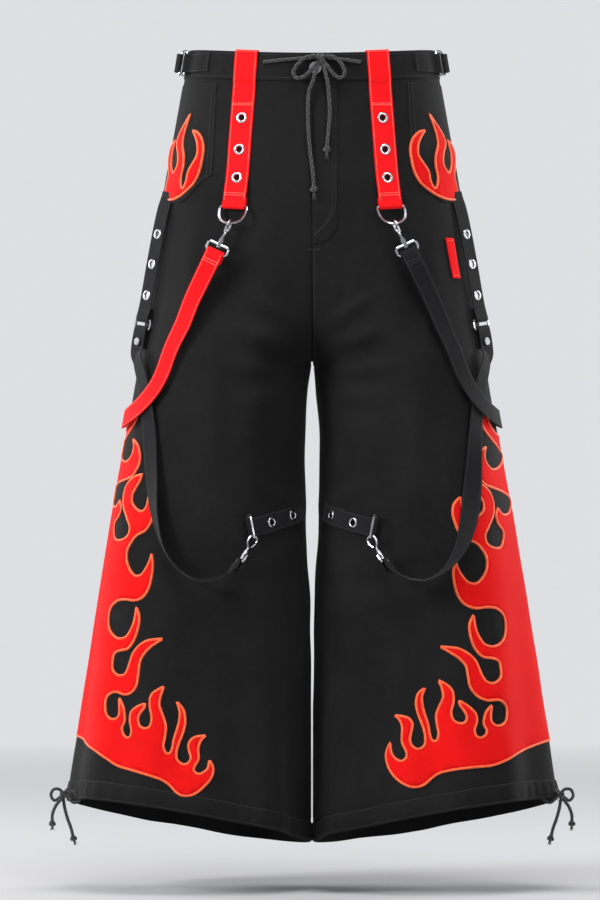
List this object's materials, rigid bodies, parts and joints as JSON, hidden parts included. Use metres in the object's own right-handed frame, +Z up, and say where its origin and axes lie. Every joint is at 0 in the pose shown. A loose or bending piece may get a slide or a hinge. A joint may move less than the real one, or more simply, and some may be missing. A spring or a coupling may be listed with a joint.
{
  "type": "wide-leg strap trousers",
  "caption": "Wide-leg black trousers with red belt straps, D-rings, swivel snap hooks, hanging straps, knee tabs, flame panels and drawstrings.",
  "frame": {"origin": "middle of the waist opening, level with the waistband's top edge at the sides", "axes": "+Z up the body, the front faces -Y, the wearer's left leg is at +X"},
  "size_m": [0.6644, 0.3143, 1.0595],
  "materials": {
    "black_twill": "black cotton twill with a soft, dry surface",
    "red_twill": "bright red cotton twill",
    "cotton_cord": "dark grey braided cotton",
    "zip_tape": "black woven zip tape",
    "nickel": "bright nickel plate with light wear"
  },
  "bodies": {
    "root": {"waistband": "black_twill", "front_panel_left": "black_twill", "back_panel_left": "black_twill", "front_panel_right": "black_twill", "back_panel_right": "black_twill", "hem_band_left": "black_twill", "hem_band_right": "black_twill", "flame_panel_left": "red_twill", "flame_panel_right": "red_twill", "front_pocket_left": "black_twill", "front_pocket_right": "black_twill", "back_pocket_left": "black_twill", "back_pocket_right": "black_twill", "fly_flap": "black_twill", "zip_tape": "zip_tape", "waist_button": "nickel", "belt_strap_left": "red_twill", "hanging_strap_left": "black_twill", "belt_strap_right": "red_twill", "hanging_strap_right": "red_twill", "side_strip_left": "black_twill", "knee_tab_left": "black_twill", "side_strap_left": "black_twill", "side_strip_right": "black_twill", "knee_tab_right": "black_twill", "side_strap_right": "black_twill", "waist_tab_left": "black_twill", "waist_tab_right": "black_twill", "red_side_tab": "red_twill", "waist_cord_right": "cotton_cord", "waist_cord_left": "cotton_cord", "waist_bow": "cotton_cord", "waist_tail_right": "cotton_cord", "waist_tail_left": "cotton_cord", "hem_cord_left": "cotton_cord", "hem_cord_right": "cotton_cord"},
    "front_clip_left": {"front_ring_left": "nickel", "front_loop_left": "nickel"},
    "front_hook_left": {"front_hook_left": "nickel"},
    "front_gate_left": {"front_gate_left": "nickel"},
    "knee_clip_left": {"knee_ring_left": "nickel", "knee_loop_left": "nickel"},
    "knee_hook_left": {"knee_hook_left": "nickel"},
    "knee_gate_left": {"knee_gate_left": "nickel"},
    "side_ring_left": {"side_ring_left": "nickel", "snap_stud_left": "nickel"},
    "waist_buckle_left": {"waist_buckle_left": "nickel"},
    "front_clip_right": {"front_ring_right": "nickel", "front_loop_right": "nickel"},
    "front_hook_right": {"front_hook_right": "nickel"},
    "front_gate_right": {"front_gate_right": "nickel"},
    "knee_clip_right": {"knee_ring_right": "nickel", "knee_loop_right": "nickel"},
    "knee_hook_right": {"knee_hook_right": "nickel"},
    "knee_gate_right": {"knee_gate_right": "nickel"},
    "side_ring_right": {"side_ring_right": "nickel", "snap_stud_right": "nickel"},
    "waist_buckle_right": {"waist_buckle_right": "nickel"},
    "zip_slider": {"zip_slider": "nickel"}
  },
  "joints": [
    {"name": "front_ring_left", "type": "hinge", "parent": "root", "child": "front_clip_left", "pos_m": [0.10281, -0.11588, -0.21168], "axis": [0.9352, 0.349, 0.0601], "range_deg": [-45, 0], "deforming": ["hanging_strap_left"]},
    {"name": "front_swivel_left", "type": "hinge", "parent": "front_clip_left", "child": "front_hook_left", "pos_m": [0.10836, -0.12678, -0.23469], "axis": [-0.4366, 0.0378, 0.8989], "range_deg": [-20, 20]},
    {"name": "front_gate_left", "type": "hinge", "parent": "front_hook_left", "child": "front_gate_left", "pos_m": [0.11515, -0.12983, -0.24656], "axis": [0.8514, 0.3402, 0.3992], "range_deg": [-25, 0], "stiffness_Nm_per_rad": 0.004},
    {"name": "knee_ring_left", "type": "hinge", "parent": "root", "child": "knee_clip_left", "pos_m": [0.08166, -0.11766, -0.63293], "axis": [0.1861, -0.069, 0.9801], "range_deg": [-25, 0], "deforming": ["side_strap_left"]},
    {"name": "knee_swivel_left", "type": "hinge", "parent": "knee_clip_left", "child": "knee_hook_left", "pos_m": [0.07637, -0.12588, -0.64827], "axis": [-0.4784, 0.4305, 0.7654], "range_deg": [-12, 12]},
    {"name": "knee_gate_left", "type": "hinge", "parent": "knee_hook_left", "child": "knee_gate_left", "pos_m": [0.08087, -0.13123, -0.66042], "axis": [-0.4217, -0.8771, 0.2298], "range_deg": [-25, 0], "stiffness_Nm_per_rad": 0.004},
    {"name": "side_ring_left", "type": "hinge", "parent": "root", "child": "side_ring_left", "pos_m": [0.22321, -0.03798, -0.35883], "axis": [0.6308, 0.7675, 0.1138], "range_deg": [-35, 0], "deforming": ["side_strap_left"]},
    {"name": "waist_buckle_left", "type": "hinge", "parent": "root", "child": "waist_buckle_left", "pos_m": [0.1674, -0.02827, -0.01789], "axis": [-0.1604, 0.062, 0.9851], "range_deg": [-50, 0]},
    {"name": "front_ring_right", "type": "hinge", "parent": "root", "child": "front_clip_right", "pos_m": [-0.10281, -0.11588, -0.21168], "axis": [0.9352, -0.349, -0.0601], "range_deg": [-45, 0], "deforming": ["hanging_strap_right"]},
    {"name": "front_swivel_right", "type": "hinge", "parent": "front_clip_right", "child": "front_hook_right", "pos_m": [-0.10836, -0.12678, -0.23469], "axis": [0.4366, 0.0378, 0.8989], "range_deg": [-20, 20]},
    {"name": "front_gate_right", "type": "hinge", "parent": "front_hook_right", "child": "front_gate_right", "pos_m": [-0.11515, -0.12983, -0.24656], "axis": [0.8514, -0.3402, -0.3992], "range_deg": [-25, 0], "stiffness_Nm_per_rad": 0.004},
    {"name": "knee_ring_right", "type": "hinge", "parent": "root", "child": "knee_clip_right", "pos_m": [-0.08166, -0.11766, -0.63293], "axis": [0.1861, 0.069, -0.9801], "range_deg": [-25, 0], "deforming": ["side_strap_right"]},
    {"name": "knee_swivel_right", "type": "hinge", "parent": "knee_clip_right", "child": "knee_hook_right", "pos_m": [-0.07637, -0.12588, -0.64827], "axis": [0.4784, 0.4305, 0.7654], "range_deg": [-12, 12]},
    {"name": "knee_gate_right", "type": "hinge", "parent": "knee_hook_right", "child": "knee_gate_right", "pos_m": [-0.08087, -0.13123, -0.66042], "axis": [-0.4217, 0.8771, -0.2298], "range_deg": [-25, 0], "stiffness_Nm_per_rad": 0.004},
    {"name": "side_ring_right", "type": "hinge", "parent": "root", "child": "side_ring_right", "pos_m": [-0.22321, -0.03798, -0.35883], "axis": [0.6308, -0.7675, -0.1138], "range_deg": [-35, 0], "deforming": ["side_strap_right"]},
    {"name": "waist_buckle_right", "type": "hinge", "parent": "root", "child": "waist_buckle_right", "pos_m": [-0.1674, -0.02827, -0.01789], "axis": [-0.1604, -0.062, -0.9851], "range_deg": [-50, 0]},
    {"name": "zip_slide", "type": "slide", "parent": "root", "child": "zip_slider", "axis": [0, -0.1099, -0.9939], "range_m": [0, 0.12]}
  ]
}
